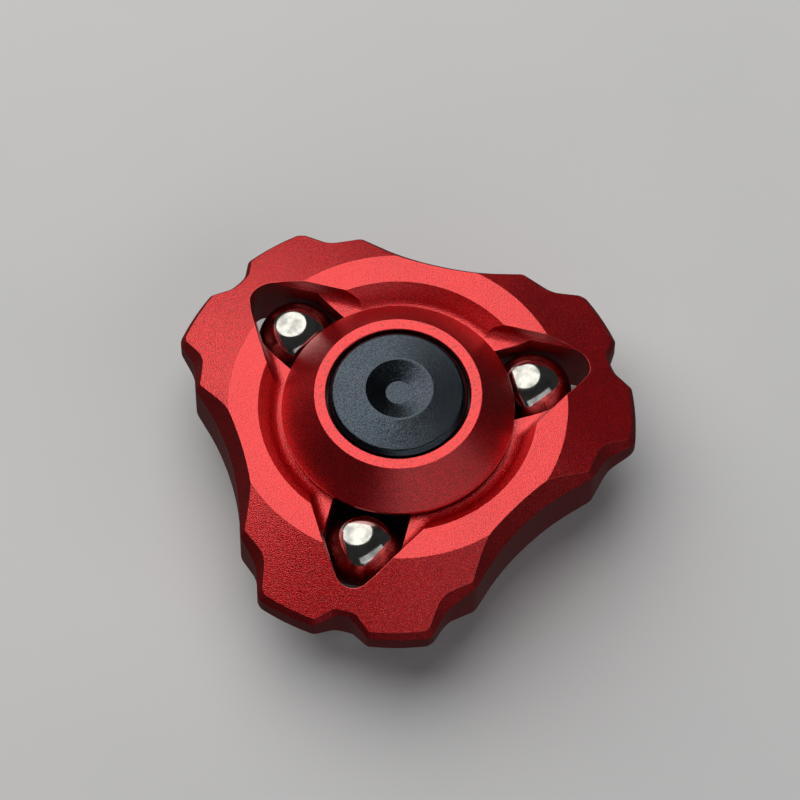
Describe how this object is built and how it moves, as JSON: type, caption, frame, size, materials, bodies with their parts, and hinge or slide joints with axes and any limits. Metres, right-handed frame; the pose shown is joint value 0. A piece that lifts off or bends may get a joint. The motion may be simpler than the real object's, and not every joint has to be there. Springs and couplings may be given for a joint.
{
  "type": "hand spinner",
  "caption": "Three-lobed anodised hand spinner with a shielded ball bearing, conical hub caps, dished finger buttons and a captive steel ball in each lobe.",
  "frame": {"origin": "centre of the bearing, on the spin axis, half-way through the thickness", "axes": "+Z along the spin axis, towards the upper button; +Y towards the lobe of steel_ball_1; +X completes a right-handed frame"},
  "size_m": [0.0556, 0.0501, 0.0204],
  "materials": {
    "red_anodised": "bead-blasted and red anodised",
    "cap_red_anodised": "finely bead-blasted and red anodised",
    "black_anodised": "finely bead-blasted and black anodised",
    "polished_steel": "polished bearing steel with fine scratches",
    "carrier_aluminium": "turned and black anodised",
    "bearing_steel": "ground bearing steel",
    "cage_brass": "machined brass",
    "spring_steel": "blued spring steel",
    "stud_steel": "turned stainless steel"
  },
  "bodies": {
    "hub": {"upper_button": "black_anodised", "lower_button": "black_anodised", "button_stud": "stud_steel", "upper_shim": "spring_steel", "lower_shim": "spring_steel", "bearing_inner_race": "bearing_steel"},
    "rotor": {"rotor_body": "red_anodised", "bearing_carrier": "carrier_aluminium", "bearing_retaining_ring": "spring_steel", "bearing_outer_race": "bearing_steel", "upper_hub_cap": "cap_red_anodised", "lower_hub_cap": "cap_red_anodised", "upper_bearing_shield": "bearing_steel", "lower_bearing_shield": "bearing_steel", "upper_shield_clip": "spring_steel", "lower_shield_clip": "spring_steel"},
    "cage": {"bearing_cage": "cage_brass", "bearing_balls": "bearing_steel"},
    "ball_1": {"steel_ball_1": "polished_steel"},
    "ball_2": {"steel_ball_2": "polished_steel"},
    "ball_3": {"steel_ball_3": "polished_steel"}
  },
  "joints": [
    {"name": "rotor_spin", "type": "hinge", "parent": "hub", "child": "rotor", "pos_m": [0, 0, 0], "axis": [0, 0, 1], "continuous": true},
    {"name": "cage_spin", "type": "hinge", "parent": "hub", "child": "cage", "pos_m": [0, 0, 0], "axis": [0, 0, 1], "continuous": true},
    {"name": "ball_1_slide", "type": "slide", "parent": "rotor", "child": "ball_1", "axis": [0, 1, 0], "range_m": [-0.00045, 0.00045]},
    {"name": "ball_2_slide", "type": "slide", "parent": "rotor", "child": "ball_2", "axis": [-0.866, -0.5, 0], "range_m": [-0.00045, 0.00045]},
    {"name": "ball_3_slide", "type": "slide", "parent": "rotor", "child": "ball_3", "axis": [0.866, -0.5, 0], "range_m": [-0.00045, 0.00045]}
  ],
  "couplings": [
    {"joint": "cage_spin", "follows": "rotor_spin", "ratio": 0.5829}
  ]
}
